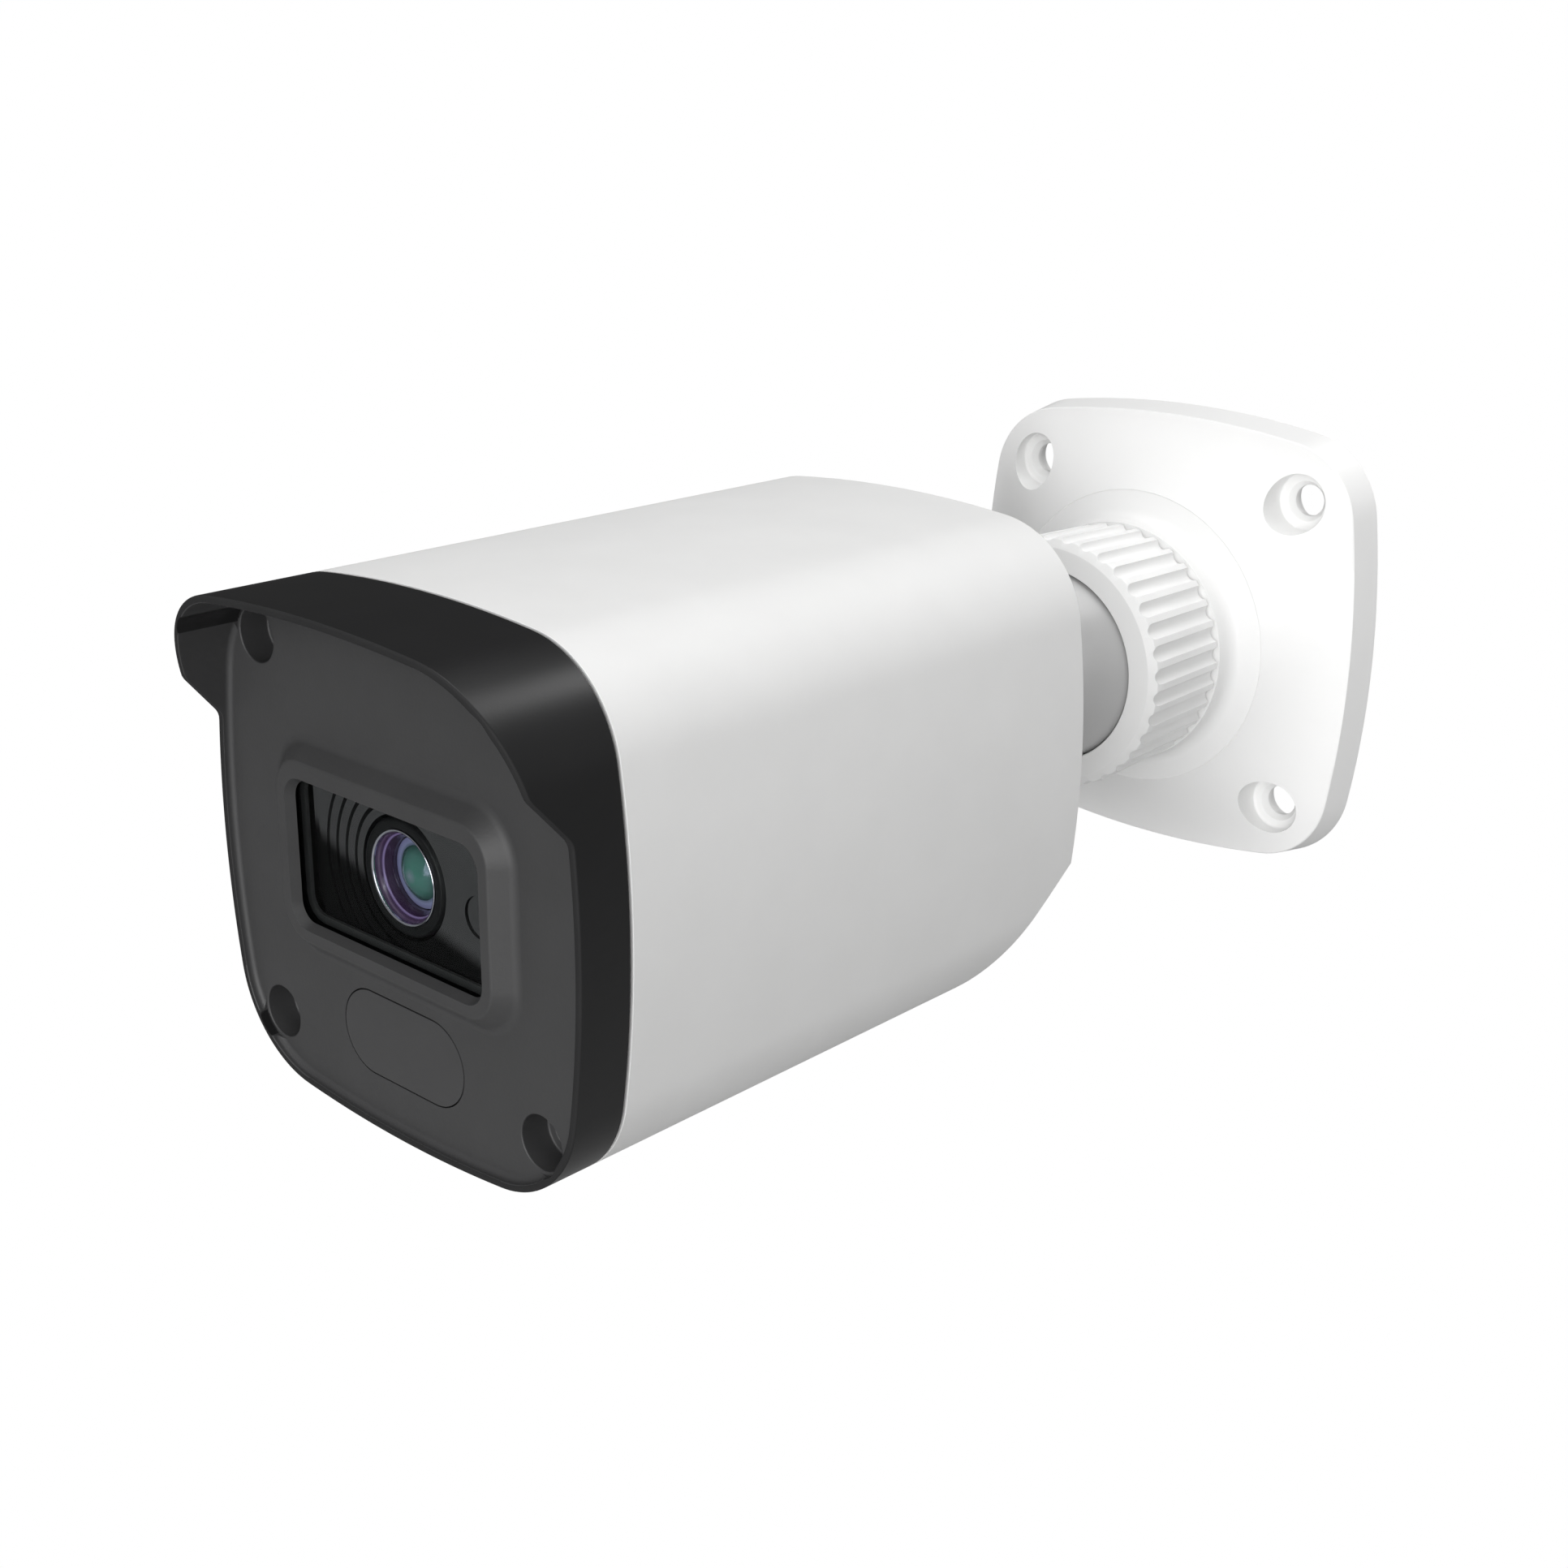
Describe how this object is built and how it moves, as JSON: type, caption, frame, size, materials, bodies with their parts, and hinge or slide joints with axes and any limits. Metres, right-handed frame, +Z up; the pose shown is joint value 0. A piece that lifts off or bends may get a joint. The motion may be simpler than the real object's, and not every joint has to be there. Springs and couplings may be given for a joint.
{
  "type": "security camera",
  "caption": "Bullet security camera: boxy white housing with a black hooded front, lens window and infrared window, on a ball joint with a fluted clamp ring and a square wall plate.",
  "frame": {"origin": "centre of the wall plate's back face, on the wall", "axes": "-Y out of the wall towards the lens's side, +Z up, +X to the right of a person who faces the lens's back, looking along +Y"},
  "size_m": [0.07, 0.1662, 0.07],
  "materials": {
    "white_housing": "white powder coat with a fine grain",
    "white_bracket": "smooth white",
    "black_cover": "fine grain",
    "black_plastic": "dull",
    "smoked_window": "polished, dark",
    "window_glass": "polished",
    "lens_glass": "coated, violet and green reflections",
    "filter_glass": "coated",
    "black_rubber": "dull",
    "nylon": "natural nylon",
    "steel": "plain",
    "black_metal": "black anodised",
    "aluminium": "mill finish",
    "circuit_board": "green solder mask",
    "chip": "moulded epoxy",
    "gap_pad": "soft grey pad",
    "copper": "enamelled winding"
  },
  "bodies": {
    "bracket": {"wall_plate": "white_bracket"},
    "friction_ring": {"friction_ring": "nylon"},
    "clamp_ring": {"clamp_ring": "white_bracket"},
    "ball_seat": {"ball_seat": "nylon"},
    "ball": {"ball": "white_bracket"},
    "filter_slide": {"filter_frame": "black_plastic", "infrared_filter": "filter_glass", "clear_filter": "window_glass"},
    "camera_head": {"ball_clip": "steel", "ball_stem": "white_housing", "stem_seal": "black_rubber", "cable_grommet": "black_rubber", "housing_shell": "white_housing", "front_cover": "black_cover", "cover_seal": "black_rubber", "window_glass": "window_glass", "window_seal": "black_rubber", "infrared_window": "smoked_window", "light_baffle": "black_plastic", "lens_barrel": "black_metal", "lens_ring": "steel", "lens_front_element": "lens_glass", "lens_middle_element": "lens_glass", "lens_rear_element": "lens_glass", "lens_lock_ring": "black_metal", "lens_holder": "black_plastic", "filter_coil": "copper", "sensor_board": "circuit_board", "image_sensor": "chip", "main_board": "circuit_board", "board_plug": "chip", "board_socket": "chip", "processor": "chip", "thermal_pad": "gap_pad", "heat_sink": "aluminium", "cable_header": "nylon", "led_board": "circuit_board", "led_guard": "black_rubber", "infrared_led_1": "window_glass", "infrared_led_2": "window_glass", "light_sensor": "chip", "stem_screw_1": "steel", "stem_screw_2": "steel", "stem_screw_3": "steel", "cover_screw_1": "steel", "standoff_1": "steel", "board_screw_1": "steel", "cover_screw_2": "steel", "standoff_2": "steel", "board_screw_2": "steel", "cover_screw_3": "steel", "standoff_3": "steel", "board_screw_3": "steel", "cover_screw_4": "steel", "standoff_4": "steel", "board_screw_4": "steel", "led_screw_1": "steel", "led_screw_2": "steel"}
  },
  "joints": [
    {"name": "clamp_ring_travel", "type": "slide", "parent": "bracket", "child": "friction_ring", "axis": [0, -1, 0], "range_m": [0, 0.001]},
    {"name": "clamp_ring_turn", "type": "hinge", "parent": "friction_ring", "child": "clamp_ring", "pos_m": [0, -0.0302, 0], "axis": [0, -1, 0], "range_deg": [0, 180]},
    {"name": "head_pan", "type": "hinge", "parent": "bracket", "child": "ball_seat", "pos_m": [0, -0.0302, 0], "axis": [0, 1, 0], "range_deg": [-180, 180]},
    {"name": "head_tilt", "type": "hinge", "parent": "ball_seat", "child": "ball", "pos_m": [0, -0.0302, 0], "axis": [1, 0, 0], "range_deg": [-30, 30]},
    {"name": "head_rotation", "type": "hinge", "parent": "ball", "child": "camera_head", "pos_m": [0, -0.0302, 0], "axis": [0, 1, 0], "range_deg": [-180, 180]},
    {"name": "filter_switch", "type": "slide", "parent": "camera_head", "child": "filter_slide", "axis": [1, 0, 0], "range_m": [-0.009, 0]}
  ],
  "couplings": [
    {"joint": "clamp_ring_travel", "follows": "clamp_ring_turn", "m_per_rad": 0.000318}
  ]
}
